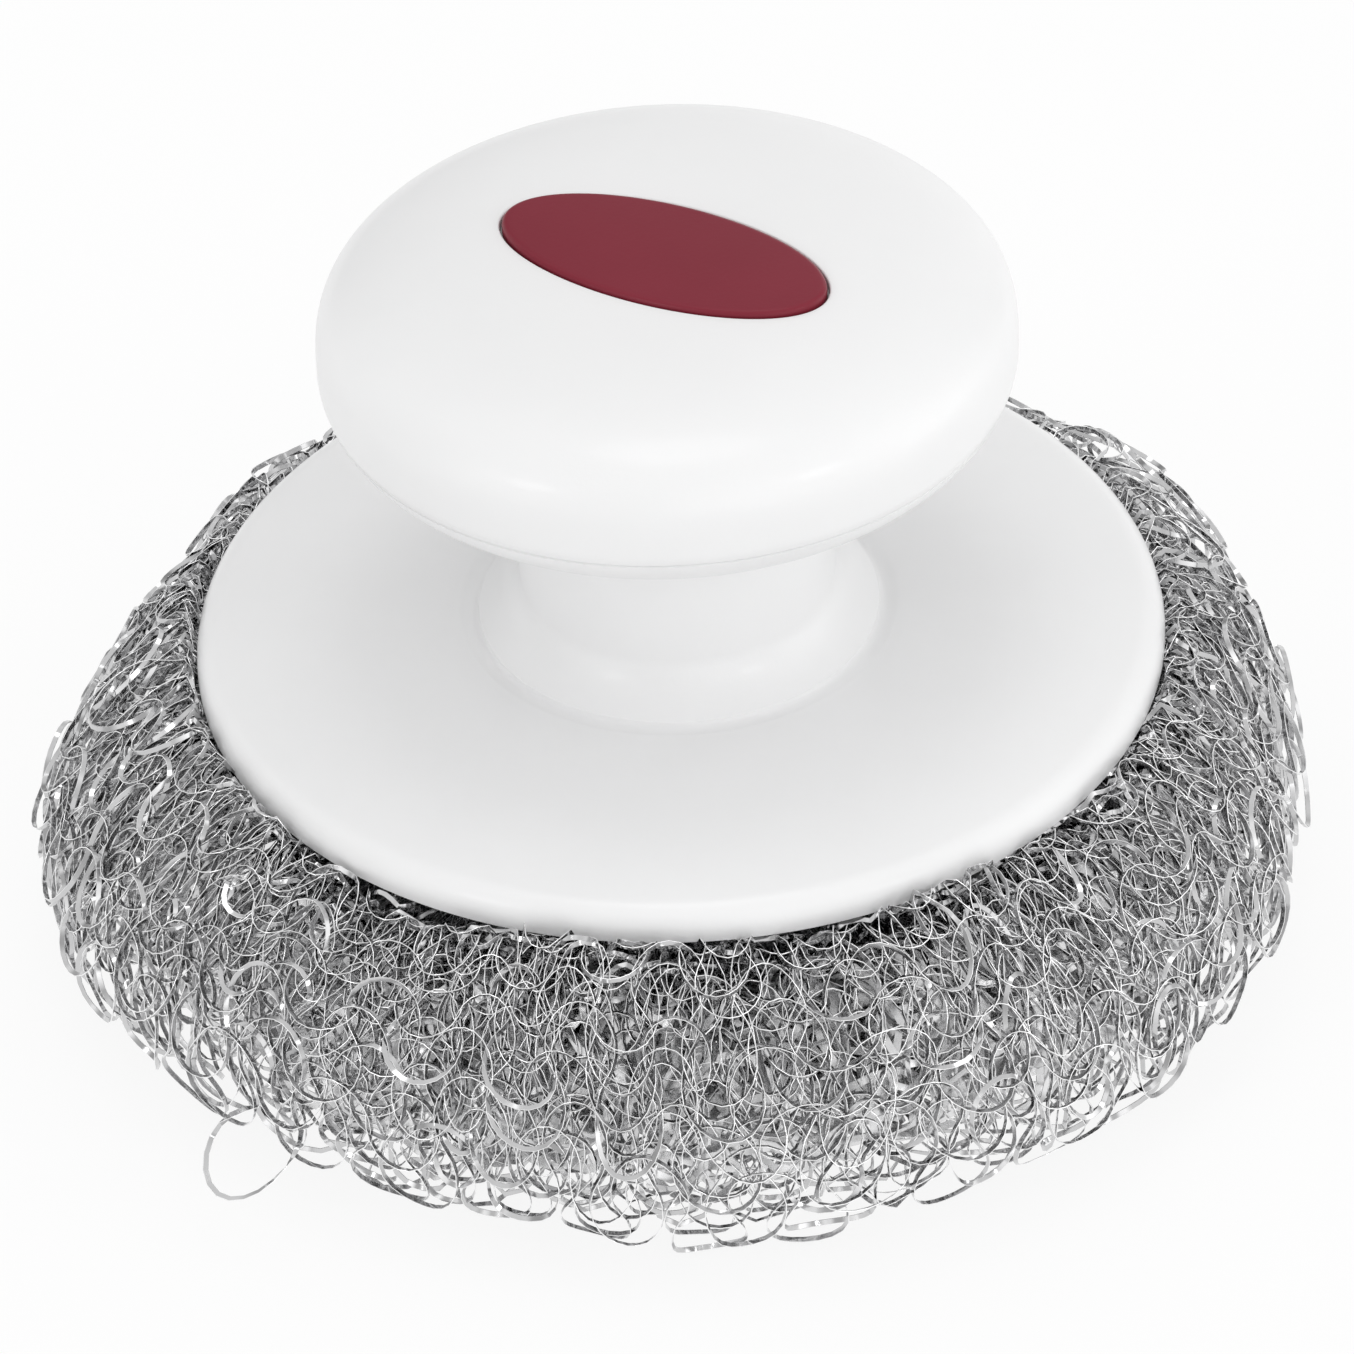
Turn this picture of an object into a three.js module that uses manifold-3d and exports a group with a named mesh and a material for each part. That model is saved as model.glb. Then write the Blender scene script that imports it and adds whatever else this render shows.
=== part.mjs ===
// Palm scrubber: a mushroom knob handle on a springy pad of knitted flat steel wire.
// Millimetres, +Z up. The origin is on the table, under the middle of the pad.
import * as THREE from "three";
import { mergeVertices } from "three/addons/utils/BufferGeometryUtils.js";
import Module from "manifold-3d";

const wasm = await Module();
wasm.setup();

// Driving dimensions: the knitted pad
const PAD_DIAMETER = 106;
const PAD_SEAT_HEIGHT = 23; // the flange's underside above the table
const PAD_COLLAR_RISE = 1.2; // the mesh puffs up this far round the flange
const PAD_WIDEST_HEIGHT = 8;
const PAD_SIDE_WIDTH = 15; // from the widest circle in to where the side begins to turn
const PAD_UPPER_FULLNESS = 1.75; // exponent of the side's curve: 2 is an ellipse
const PAD_LOWER_FULLNESS = 2.5;
const SLEEVE_THICKNESS = 4.4; // the outer courses of knit, also where they are clamped
const SLEEVE_HEM_GAP = 0.6; // the sleeve's lower hem stops short of its clamped middle
const DIMPLE_LIP_RADIUS = 24;
const DIMPLE_CURVE_HEIGHT = 12;
const DIMPLE_SIDE_GAP = 1.4; // between the clamp disc's edge and the mesh round it

// Driving dimensions: the flange and neck
const FLANGE_DIAMETER = 80;
const FLANGE_RIM_HEIGHT = 2.7;
const FLANGE_EDGE_RADIUS = 2.2;
const FLANGE_RISE = 0.8; // its top climbs this much from the rim to the neck
const NECK_FOOT_DIAMETER = 33;
const NECK_FOOT_HEIGHT = 4.5;
const NECK_FOOT_CREASE = 0.35; // angle, in radians, at which the foot leaves the flange
const NECK_DIAMETER = 26;
const NECK_TOP_FILLET = 4.5;

// Driving dimensions: the knob
const KNOB_DIAMETER = 56.4;
const KNOB_WIDEST_HEIGHT = 29; // above the flange's underside
const KNOB_CROWN = 8.9;
const KNOB_TOP_FULLNESS = 3.6;
const KNOB_UNDERSIDE_DROP = 10;
const KNOB_SEAM_DROP = 1.2; // the cap meets the bowl just under the widest circle
const WALL = 2.6;
const FLOOR_THICKNESS = 2.8;
const SPIGOT_DIAMETER = 46.8; // the cap's inner ring, which plugs into the bowl
const SPIGOT_WALL = 1.8;
const SPIGOT_DEPTH = 2.4;
const BOSS_DIAMETER = 9.5;
const BOSS_TIP_GAP = 0.3;

// Driving dimensions: the oval badge
const BADGE_LENGTH = 28.6;
const BADGE_WIDTH = 13.2;
const BADGE_TURN = THREE.MathUtils.degToRad(-30);
const BADGE_SEAT_DEPTH = 1.2;
const BADGE_PROUD = 0.45;
const BADGE_EDGE_RADIUS = 0.5;
const PEG_DIAMETER = 3;
const PEG_SPACING = 16;
const PEG_LENGTH = 3;

// Driving dimensions: the fasteners
const CLAMP_DISC_DIAMETER = 22;
const CLAMP_DISC_THICKNESS = 3;
const CLAMP_DISC_EDGE_RADIUS = 1;
const WASHER_DIAMETER = 10;
const WASHER_THICKNESS = 0.8;
const SCREW_DIAMETER = 4;
const SCREW_LENGTH = 25;
const SCREW_TIP_LENGTH = 3;
const SCREW_HEAD_DIAMETER = 8;
const SCREW_HEAD_HEIGHT = 2.6;
const SCREW_HEAD_EDGE_RADIUS = 1;
const DRIVE_SLOT_LENGTH = 4.6;
const DRIVE_SLOT_WIDTH = 1.1;
const DRIVE_SLOT_DEPTH = 1.4;

// Clearances
const SOFT_GAP = 0.3; // round the soft pieces
const RIM_GAP = 0.6; // between the flange's rim and the mesh beside it
const FIT_GAP = 0.2; // between plastic pieces that plug together
const SCREW_HOLE_GAP = 0.3; // radial
const BORE_END_GAP = 1.5; // past the screw's tip

// Facets
const HANDLE_SIDES = 40;
const PAD_SIDES = 36;
const SMALL_SIDES = 24;
const OVAL_STEPS = 20; // steps in each half of the oval
const KNOB_STEPS = 14; // along the knob's top
const CURVE_STEPS = 5; // along each other outer curve
const CORNER_STEPS = 3; // along small or hidden curves

// Levels, from the table up
const flangeUnderside = PAD_SEAT_HEIGHT;
const padTop = flangeUnderside - SOFT_GAP;
const clampLevel = padTop - SLEEVE_THICKNESS;
const discTop = clampLevel - SOFT_GAP;
const discUnderside = discTop - CLAMP_DISC_THICKNESS;
const washerUnderside = discUnderside - WASHER_THICKNESS;
const screwTip = washerUnderside + SCREW_LENGTH;
const floorTop = flangeUnderside + FLOOR_THICKNESS;
const flangeTop = flangeUnderside + FLANGE_RIM_HEIGHT;
const neckFoot = flangeTop + FLANGE_RISE;
const knobWidest = flangeUnderside + KNOB_WIDEST_HEIGHT;
const knobTop = knobWidest + KNOB_CROWN;
const seamLevel = knobWidest - KNOB_SEAM_DROP;
const rebateFloor = seamLevel - SPIGOT_DEPTH - FIT_GAP;
const badgeSeat = knobTop - BADGE_SEAT_DEPTH;

// Radii
const knobRadius = KNOB_DIAMETER / 2;
const neckRadius = NECK_DIAMETER / 2;
const spigotRadius = SPIGOT_DIAMETER / 2;
const rebateRadius = spigotRadius + FIT_GAP;
const screwHoleRadius = SCREW_DIAMETER / 2 + SCREW_HOLE_GAP;

// Curve constants
const QUARTER_TURN = Math.PI / 2;
const ELLIPSE = 2; // the fullness of a true ellipse

// Materials
const plastic = new THREE.MeshStandardMaterial({ color: 0xefefee, roughness: 0.42, metalness: 0 });
const red = new THREE.MeshStandardMaterial({ color: 0x8a3544, roughness: 0.35, metalness: 0 });
const wire = new THREE.MeshStandardMaterial({ color: 0xa4a5a8, roughness: 0.3, metalness: 1 });
const steel = new THREE.MeshStandardMaterial({ color: 0xb9babc, roughness: 0.25, metalness: 1 });

// Points of a quarter curve about (r, z), from angle start to angle end: an ellipse where fullness is 2.
function quarterCurve(r, z, width, height, fullness, start, end, steps) {
  const points = [];
  for (let i = 0; i <= steps; i += 1) {
    const angle = start + ((end - start) * i) / steps;
    const across = Math.max(Math.cos(angle), 0) ** (2 / fullness);
    const up = Math.max(Math.sin(angle), 0) ** (2 / fullness);
    points.push([r + width * across, z + height * up]);
  }
  return points;
}

// Points of a curve that leaves the first point towards the corner and arrives at the last from it.
function roundedCorner(first, corner, last, steps) {
  const [a, b, c] = [first, corner, last].map(([r, z]) => new THREE.Vector2(r, z));
  return new THREE.QuadraticBezierCurve(a, b, c).getPoints(steps).map((p) => [p.x, p.y]);
}

// Turns an outline of [radius, height] points about the Z axis.
function turned(outline, sides) {
  const points = outline.map(([r, z]) => new THREE.Vector2(r, z));
  return new THREE.LatheGeometry(points, sides).rotateX(QUARTER_TURN);
}

// The same, for an outline that closes on itself clear of the axis.
function turnedRing(outline, sides) {
  return turned([...outline, outline[0]], sides);
}

// Upright bars, oval and round, between two heights.
function ovalBar(length, width, low, high) {
  const oval = new THREE.Shape().absellipse(0, 0, length / 2, width / 2, 0, 2 * Math.PI);
  const options = { depth: high - low, bevelEnabled: false, curveSegments: OVAL_STEPS };
  return new THREE.ExtrudeGeometry(oval, options).translate(0, 0, low);
}

function roundBar(diameter, low, high) {
  const bar = new THREE.CylinderGeometry(diameter / 2, diameter / 2, high - low, SMALL_SIDES);
  return bar.rotateX(QUARTER_TURN).translate(0, 0, (low + high) / 2);
}

function toSolid(geometry) {
  const bare = geometry.clone();
  bare.deleteAttribute("normal");
  bare.deleteAttribute("uv");
  const merged = mergeVertices(bare);
  const vertProperties = new Float32Array(merged.attributes.position.array);
  const triVerts = new Uint32Array(merged.index.array);
  return new wasm.Manifold(new wasm.Mesh({ numProp: 3, vertProperties, triVerts }));
}

function toGeometry(solid) {
  const mesh = solid.getMesh();
  const geometry = new THREE.BufferGeometry();
  geometry.setAttribute("position", new THREE.BufferAttribute(mesh.vertProperties, 3));
  geometry.setIndex(new THREE.BufferAttribute(mesh.triVerts, 1));
  geometry.computeVertexNormals();
  return geometry;
}

// Half the knob's outline over the widest circle, drawn in by inset, from the rim to the axis.
function knobTopCurve(inset, steps) {
  const width = knobRadius - inset;
  const height = KNOB_CROWN - inset;
  return quarterCurve(0, knobWidest, width, height, KNOB_TOP_FULLNESS, 0, QUARTER_TURN, steps);
}

function knobTopAt(r, inset) {
  const share = 1 - (r / (knobRadius - inset)) ** KNOB_TOP_FULLNESS;
  return knobWidest + (KNOB_CROWN - inset) * share ** (1 / KNOB_TOP_FULLNESS);
}

// The knob's underside, an ellipse under the widest circle, drawn in by inset.
function undersideAngle(z, inset) {
  return Math.asin((knobWidest - z) / (KNOB_UNDERSIDE_DROP - inset));
}

function undersideCurve(inset, start, end, steps) {
  const width = knobRadius - inset;
  const height = inset - KNOB_UNDERSIDE_DROP;
  return quarterCurve(0, knobWidest, width, height, ELLIPSE, start, end, steps);
}

function handleBody() {
  const seamAngle = undersideAngle(seamLevel, 0);
  const filletAngle = Math.acos((neckRadius + NECK_TOP_FILLET) / knobRadius);
  const underside = undersideCurve(0, seamAngle, filletAngle, CURVE_STEPS);
  const filletEnd = underside.at(-1);
  const undersideSlope = KNOB_UNDERSIDE_DROP / knobRadius / Math.tan(filletAngle);
  const filletCorner = [neckRadius, filletEnd[1] - undersideSlope * NECK_TOP_FILLET];
  const neckTop = [neckRadius, filletCorner[1] - NECK_TOP_FILLET];
  const footRadius = NECK_FOOT_DIAMETER / 2;
  const footWidth = (footRadius - neckRadius) / (1 - Math.sin(NECK_FOOT_CREASE));
  const footTop = neckFoot + NECK_FOOT_HEIGHT * Math.cos(NECK_FOOT_CREASE);
  const foot = quarterCurve(
    neckRadius + footWidth, footTop, -footWidth, -NECK_FOOT_HEIGHT, ELLIPSE,
    0, QUARTER_TURN - NECK_FOOT_CREASE, CURVE_STEPS,
  );
  const flangeRadius = FLANGE_DIAMETER / 2;
  const edgeRadius = flangeRadius - FLANGE_EDGE_RADIUS;
  const edgeLevel = flangeTop - FLANGE_EDGE_RADIUS;
  const edge = quarterCurve(
    edgeRadius, edgeLevel, FLANGE_EDGE_RADIUS, FLANGE_EDGE_RADIUS, ELLIPSE,
    QUARTER_TURN, 0, CORNER_STEPS,
  );
  const hollowRadius = neckRadius - WALL;
  const hollowAngle = Math.acos(hollowRadius / (knobRadius - WALL));
  const hollow = undersideCurve(WALL, hollowAngle, undersideAngle(rebateFloor, WALL), CURVE_STEPS);
  const outline = [
    [screwHoleRadius, flangeUnderside],
    [flangeRadius, flangeUnderside],
    ...edge.reverse(),
    ...foot.reverse(),
    neckTop,
    ...roundedCorner(neckTop, filletCorner, filletEnd, CURVE_STEPS).slice(1, -1),
    ...underside.reverse(),
    [rebateRadius, seamLevel],
    [rebateRadius, rebateFloor],
    ...hollow.reverse(),
    [hollowRadius, floorTop],
    [screwHoleRadius, floorTop],
  ];
  return turnedRing(outline, HANDLE_SIDES);
}

function knobCap() {
  const skirtRadius = knobRadius - WALL;
  const seamAngle = undersideAngle(seamLevel, 0);
  const ringInner = spigotRadius - SPIGOT_WALL;
  const ringFoot = seamLevel - SPIGOT_DEPTH;
  const bossRadius = BOSS_DIAMETER / 2;
  const bossTip = floorTop + BOSS_TIP_GAP;
  const boreEnd = screwTip + BORE_END_GAP;
  const pocketRoof = knobTopCurve(WALL, KNOB_STEPS).filter(([r]) => r > spigotRadius);
  const innerRoof = knobTopCurve(WALL, KNOB_STEPS).filter(([r]) => r < ringInner && r > bossRadius);
  const outline = [
    [0, boreEnd],
    [screwHoleRadius, boreEnd],
    [screwHoleRadius, bossTip],
    [bossRadius, bossTip],
    [bossRadius, knobTopAt(bossRadius, WALL)],
    ...innerRoof.reverse(),
    [ringInner, knobTopAt(ringInner, WALL)],
    [ringInner, ringFoot],
    [spigotRadius, ringFoot],
    [spigotRadius, knobTopAt(spigotRadius, WALL)],
    ...pocketRoof.reverse(),
    [skirtRadius, seamLevel],
    ...undersideCurve(0, seamAngle, 0, CORNER_STEPS).slice(0, -1),
    ...knobTopCurve(0, KNOB_STEPS),
  ];
  const seat = ovalBar(
    BADGE_LENGTH + 2 * FIT_GAP, BADGE_WIDTH + 2 * FIT_GAP, badgeSeat, knobTop + BADGE_PROUD,
  );
  let cap = toSolid(turned(outline, HANDLE_SIDES)).subtract(toSolid(seat.rotateZ(BADGE_TURN)));
  for (const side of [-1, 1]) {
    const hole = roundBar(PEG_DIAMETER + 2 * FIT_GAP, knobTop - KNOB_CROWN, knobTop);
    hole.translate((side * PEG_SPACING) / 2, 0, 0);
    cap = cap.subtract(toSolid(hole.rotateZ(BADGE_TURN)));
  }
  return toGeometry(cap);
}

function badgeInlay() {
  const oval = new THREE.Shape().absellipse(
    0, 0, BADGE_LENGTH / 2 - BADGE_EDGE_RADIUS, BADGE_WIDTH / 2 - BADGE_EDGE_RADIUS, 0, 2 * Math.PI,
  );
  const plate = new THREE.ExtrudeGeometry(oval, {
    depth: BADGE_SEAT_DEPTH + BADGE_PROUD - 2 * BADGE_EDGE_RADIUS,
    bevelSize: BADGE_EDGE_RADIUS,
    bevelThickness: BADGE_EDGE_RADIUS,
    bevelSegments: CORNER_STEPS,
    curveSegments: OVAL_STEPS,
  });
  let badge = toSolid(plate.translate(0, 0, badgeSeat + BADGE_EDGE_RADIUS));
  for (const side of [-1, 1]) {
    const peg = roundBar(PEG_DIAMETER, badgeSeat - PEG_LENGTH, badgeSeat + BADGE_EDGE_RADIUS);
    badge = badge.add(toSolid(peg.translate((side * PEG_SPACING) / 2, 0, 0)));
  }
  return toGeometry(badge).rotateZ(BADGE_TURN);
}

const padRadius = PAD_DIAMETER / 2;
const sideStart = padRadius - PAD_SIDE_WIDTH;
const dimpleRadius = CLAMP_DISC_DIAMETER / 2 + DIMPLE_SIDE_GAP;
const holdRadius = screwHoleRadius + SOFT_GAP;

// The pad's section inside the sleeve, drawn in by inset, from its top round the side to the dimple.
function padInside(inset, top) {
  const width = PAD_SIDE_WIDTH - inset;
  const inner = dimpleRadius + inset;
  const upper = quarterCurve(
    sideStart, PAD_WIDEST_HEIGHT, width, top - PAD_WIDEST_HEIGHT, PAD_UPPER_FULLNESS,
    QUARTER_TURN, 0, CORNER_STEPS,
  );
  const lower = quarterCurve(
    sideStart, PAD_WIDEST_HEIGHT, width, inset - PAD_WIDEST_HEIGHT, PAD_LOWER_FULLNESS,
    0, QUARTER_TURN, CORNER_STEPS,
  );
  const dimple = roundedCorner(
    [DIMPLE_LIP_RADIUS + inset, inset], [inner, inset], [inner, DIMPLE_CURVE_HEIGHT], CORNER_STEPS,
  );
  return [...upper, ...lower.slice(1), ...dimple];
}

function meshSleeve() {
  const rimClear = FLANGE_DIAMETER / 2 + RIM_GAP;
  const collarTop = flangeUnderside + PAD_COLLAR_RISE;
  // Where the side begins to turn outside the flange, a flat ledge runs from the rim to it.
  const ledge = sideStart > rimClear ? [[rimClear, collarTop]] : [];
  const collarShare = Math.max(rimClear - sideStart, 0) / PAD_SIDE_WIDTH;
  const collarAngle = Math.acos(collarShare ** (PAD_UPPER_FULLNESS / 2));
  const upper = quarterCurve(
    sideStart, PAD_WIDEST_HEIGHT, PAD_SIDE_WIDTH, collarTop - PAD_WIDEST_HEIGHT, PAD_UPPER_FULLNESS,
    collarAngle, 0, CURVE_STEPS,
  );
  const lower = quarterCurve(
    sideStart, PAD_WIDEST_HEIGHT, PAD_SIDE_WIDTH, -PAD_WIDEST_HEIGHT, PAD_LOWER_FULLNESS,
    0, QUARTER_TURN, CURVE_STEPS,
  );
  const dimple = roundedCorner(
    [DIMPLE_LIP_RADIUS, 0], [dimpleRadius, 0], [dimpleRadius, DIMPLE_CURVE_HEIGHT], CURVE_STEPS,
  );
  const hem = clampLevel - SLEEVE_HEM_GAP;
  const outline = [
    [holdRadius, padTop],
    [rimClear, padTop],
    ...ledge,
    ...upper,
    ...lower.slice(1),
    ...dimple,
    [dimpleRadius, hem],
    [dimpleRadius + SLEEVE_THICKNESS, hem],
    ...padInside(SLEEVE_THICKNESS, clampLevel).reverse(),
    [holdRadius, clampLevel],
  ];
  return turnedRing(outline.reverse(), PAD_SIDES);
}

function meshCore() {
  const top = clampLevel - SOFT_GAP;
  const inset = SLEEVE_THICKNESS + SOFT_GAP;
  const outline = [...padInside(inset, top), [dimpleRadius + inset, top]];
  return turnedRing(outline.reverse(), PAD_SIDES);
}

function clampDisc() {
  const radius = CLAMP_DISC_DIAMETER / 2;
  const edge = CLAMP_DISC_EDGE_RADIUS;
  const outline = [
    [screwHoleRadius, discUnderside],
    ...quarterCurve(
      radius - edge, discUnderside + edge, edge, -edge, ELLIPSE, QUARTER_TURN, 0, CORNER_STEPS,
    ),
    [radius, discTop],
    [screwHoleRadius, discTop],
  ];
  return turnedRing(outline, SMALL_SIDES);
}

function screwWasher() {
  const radius = WASHER_DIAMETER / 2;
  const outline = [
    [screwHoleRadius, washerUnderside],
    [radius, washerUnderside],
    [radius, discUnderside],
    [screwHoleRadius, discUnderside],
  ];
  return turnedRing(outline, SMALL_SIDES);
}

function clampScrew() {
  const radius = SCREW_DIAMETER / 2;
  const headRadius = SCREW_HEAD_DIAMETER / 2;
  const headLow = washerUnderside - SCREW_HEAD_HEIGHT;
  const edge = SCREW_HEAD_EDGE_RADIUS;
  const outline = [
    [0, headLow],
    ...quarterCurve(
      headRadius - edge, headLow + edge, edge, -edge, ELLIPSE, QUARTER_TURN, 0, CORNER_STEPS,
    ),
    [headRadius, washerUnderside],
    [radius, washerUnderside],
    [radius, screwTip - SCREW_TIP_LENGTH],
    [0, screwTip],
  ];
  let screw = toSolid(turned(outline, SMALL_SIDES));
  for (const turn of [0, QUARTER_TURN]) {
    const slot = new THREE.BoxGeometry(DRIVE_SLOT_LENGTH, DRIVE_SLOT_WIDTH, 2 * DRIVE_SLOT_DEPTH);
    screw = screw.subtract(toSolid(slot.rotateZ(turn).translate(0, 0, headLow)));
  }
  return toGeometry(screw);
}

const scrubber = new THREE.Group();
const pieces = [
  ["knob_cap", knobCap(), plastic],
  ["badge_inlay", badgeInlay(), red],
  ["handle_body", handleBody(), plastic],
  ["mesh_sleeve", meshSleeve(), wire],
  ["mesh_core", meshCore(), wire],
  ["clamp_disc", clampDisc(), plastic],
  ["screw_washer", screwWasher(), steel],
  ["clamp_screw", clampScrew(), steel],
];
for (const [name, geometry, material] of pieces) {
  const mesh = new THREE.Mesh(geometry, material);
  mesh.name = name;
  scrubber.add(mesh);
}

export default scrubber;
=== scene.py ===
# Looks of a palm scrubber: smooth plastic mouldings on a springy pad of knitted flat steel wire.
# Sizes are in millimetres, apart from the lamps' and the noise's, and meshes are made in metres.
import math
from dataclasses import dataclass

import bpy
import numpy as np
from mathutils import Matrix, Vector

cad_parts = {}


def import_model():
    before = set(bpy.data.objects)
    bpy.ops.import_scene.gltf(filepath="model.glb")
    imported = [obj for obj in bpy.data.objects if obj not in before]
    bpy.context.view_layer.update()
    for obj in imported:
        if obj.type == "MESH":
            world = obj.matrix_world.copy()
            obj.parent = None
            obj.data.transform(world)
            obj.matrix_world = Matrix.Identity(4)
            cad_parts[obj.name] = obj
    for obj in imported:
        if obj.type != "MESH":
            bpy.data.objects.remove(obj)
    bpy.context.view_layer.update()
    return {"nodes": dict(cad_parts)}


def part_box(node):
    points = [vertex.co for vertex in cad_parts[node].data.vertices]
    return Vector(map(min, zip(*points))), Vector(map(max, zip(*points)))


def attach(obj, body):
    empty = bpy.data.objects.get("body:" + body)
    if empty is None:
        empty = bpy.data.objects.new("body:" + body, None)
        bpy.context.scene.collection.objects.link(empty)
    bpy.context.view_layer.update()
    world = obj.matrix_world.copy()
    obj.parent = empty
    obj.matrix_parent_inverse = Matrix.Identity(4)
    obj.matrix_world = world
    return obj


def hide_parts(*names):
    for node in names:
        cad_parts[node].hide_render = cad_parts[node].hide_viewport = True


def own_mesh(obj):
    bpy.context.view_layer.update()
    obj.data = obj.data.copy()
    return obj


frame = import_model()

MM = 0.001
FULL_TURN = 2 * math.pi
QUARTER_TURN = math.pi / 2
ELLIPSE = 2  # the fullness of a true ellipse


def node_box(node):
    low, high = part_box(node)
    return low / MM, high / MM


# Sizes from the frame
flange_underside = node_box("handle_body")[0].z
flange_radius = node_box("handle_body")[1].x
knob_radius = node_box("knob_cap")[1].x
pad_radius = node_box("mesh_sleeve")[1].x
disc_high = node_box("clamp_disc")[1]

# The handle's shape
FLANGE_RIM_HEIGHT = 2.7
FLANGE_EDGE_RADIUS = 2.2
FLANGE_RISE = 0.8
NECK_FOOT_RADIUS = 16.5
NECK_FOOT_HEIGHT = 4.5
NECK_FOOT_CREASE = 0.6  # in radians, what the foot's curve falls short of level
CREASE_WIDTH = 1.8
CREASE_DEPTH = 0.45
NECK_RADIUS = 13
NECK_TOP_FILLET = 4.5
KNOB_WIDEST_HEIGHT = 29
KNOB_CROWN = 8.9
KNOB_TOP_FULLNESS = 3.6
KNOB_UNDERSIDE_DROP = 10
KNOB_SEAM_DROP = 1.2
SEAM_EDGE = 0.14
WALL = 2.6
FLOOR_THICKNESS = 2.8
SPIGOT_RADIUS = 23.4
SPIGOT_WALL = 1.8
SPIGOT_DEPTH = 2.4
BOSS_RADIUS = 4.75
BOSS_TIP_GAP = 0.3
BORE_END_GAP = 1.5  # over the screw's tip
SCREW_HOLE_RADIUS = 2.3
FIT_GAP = 0.2

# The badge's shape
BADGE_LENGTH = 28.6
BADGE_WIDTH = 13.2
BADGE_TURN = math.radians(-30)
BADGE_SEAT_DEPTH = 1.2
BADGE_PROUD = 0.3
BADGE_EDGE_RADIUS = 0.5
BADGE_DOME = 0.12
SEAT_EDGE_RADIUS = 0.2
CAP_GRID_RADIUS = 20  # inside it the cap's rings turn from circles to ovals

# The pad's section
PAD_SHIFT = Vector((-0.5, -0.5, 0))
# Where the pad isn't round: azimuth in degrees, distance out
PAD_BULGES = ((-60, 1.8), (-120, 0.8), (10, -1.6), (145, -7.0), (178, 1.6))
LOOSE_SIDE = 38  # azimuth in degrees of where the layers under the first lie loose
BULGE_WIDTH = 28  # in degrees
PAD_WIDEST_HEIGHT = 8
PAD_SIDE_WIDTH = 15
PAD_UPPER_FULLNESS = 1.75
PAD_LOWER_FULLNESS = 2.5
PAD_COLLAR_RISE = 1.9
PAD_TOP_START = 16
DIMPLE_LIP_RADIUS = 24
DIMPLE_RADIUS = 12.4
DIMPLE_CURVE_HEIGHT = 12
DIMPLE_TOP = 17.2
# The heart is a level ring, towards which each layer is smaller than the one over it
HEART_INNER = 20
HEART_OUTER = 40
HEART_HEIGHT = 11.3
HEART_DEPTH = 12
SECTION_STEP = 0.25
NORMAL_SMOOTHING = 9

# The knitted wire
RIBBON_THICKNESS = 0.08
EDGE_SHARE = 0.14  # of the ribbon's half width, taken by each rounded edge
LOOP_ARC = math.radians(134)  # of a circle, to either side of each loop's head
LOOP_DEPTH = 0.4
PULL_SLOPE = math.radians(15)  # down from level, of a loop that stands out
LOWEST_FACING = -0.2  # how far the wire's edges turn down where the side curves under
HIDDEN_COURSE_SPACING = 6
LAST_COURSE_HEIGHT = 7.5  # the side's last course hangs from here, above the table
BASE_RADIUS = 41
RIM_TUCK = 7
TUCK_DEPTH = 0.4  # of the knit under the flange
GROOVE_WIDTH = 0.5  # between the flange's rim and the pad's full height
FLOOR_CLEARANCE = 0.05
FLANGE_CLEARANCE = 0.15
RIM_SLOPE = 4  # how steeply the wire may rise beside the flange's rim
LEAST_RADIUS = 1  # nearer the axis, wire isn't moved all the way out of the clamp disc
STRIP_MARGIN = 0.06  # above and below each strip of the bake's layout, as a share of its height
# Name of the mark on the wire's rounded edge faces, which the wire's material paints bright as a
# painted highlight
EDGE_HIGHLIGHT_MARK = "edge_highlight_mask"

# How uneven the loops are
SLIDE_SPREAD = 0.3
REACH_SPREAD = 0.4
LIFT_SPREAD = 0.25
SIZE_SPREAD = 0.1
PHASE_SPREAD = 0.08
PROUD_SHARE = 0.03
PROUD_LIFT = (0.4, 1.0)
PAD_SEED = 7
PAD_CRUMPLE = (0.6, 16, 40, 10)  # size, shortest and longest wave, number of waves
LAYER_CRUMPLE = 0.4
LAYER_WAVES = (9, 18, 12)  # shortest and longest wave, number of waves

# Outlines of the wire, in half widths and half thicknesses
FLAT = ((-1, -1), (1, -1), (1, 1), (-1, 1))
INNER_WIDTH = 1 - EDGE_SHARE
ROUNDED = (
    (-1, 0), (-INNER_WIDTH, -1), (INNER_WIDTH, -1), (1, 0), (INNER_WIDTH, 1), (-INNER_WIDTH, 1),
)

# Surfaces, with each noise's scale and detail
NOISE_RANGE = (0.3, 0.7)  # holds most of what a noise texture gives
PLASTIC_COLOUR_NOISE = (90, 4)
PLASTIC_SHEEN_NOISE = (400, 3)
GRAIN_NOISE = (2500, 2)
GRAIN_HEIGHT = 0.02
GRAIN_STRENGTH = 0.5
PLASTIC_IOR = 1.48
GLOSS_ROUGHNESS = 0.12
STEEL_COLOUR_NOISE = (350, 4)
STEEL_SHEEN_NOISE = (900, 3)
WHITE = (1, 1, 1, 1)

# The studio
FLOOR_COLOUR = (0.93, 0.93, 0.93, 1)
FLOOR_ROUGHNESS = 0.9
FLOOR_GLOW = 0.88  # its share of what the camera and the gloss see of the floor
FLOOR_HALF_WIDTH = 1500
PANELS = 5
PANEL_EDGE = 0.6  # how soft the panels' sides are, up to 1
GAP_SHARE = 0.5  # of a panel's light, from the gaps between the panels
LEFT_LIGHT = 0.96
RIGHT_LIGHT = 1.48
LOW_SHARE = 1.42  # of the walls' light, from level with the floor
LOW_END = 0.4  # how high a direction is where the walls' light is its plain self
BACK_SHARE = 0.62  # of the walls' light, from behind
BACK_START = (0.45, 0.75)  # how far back a direction is where the wall behind begins, and is all there
CEILING_LIGHT = 0.89
CEILING_START = (0.6, 0.85)  # how high a direction is where the ceiling begins, and is all there
LAMP_TARGET = (0, 0, 0.03)
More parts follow.
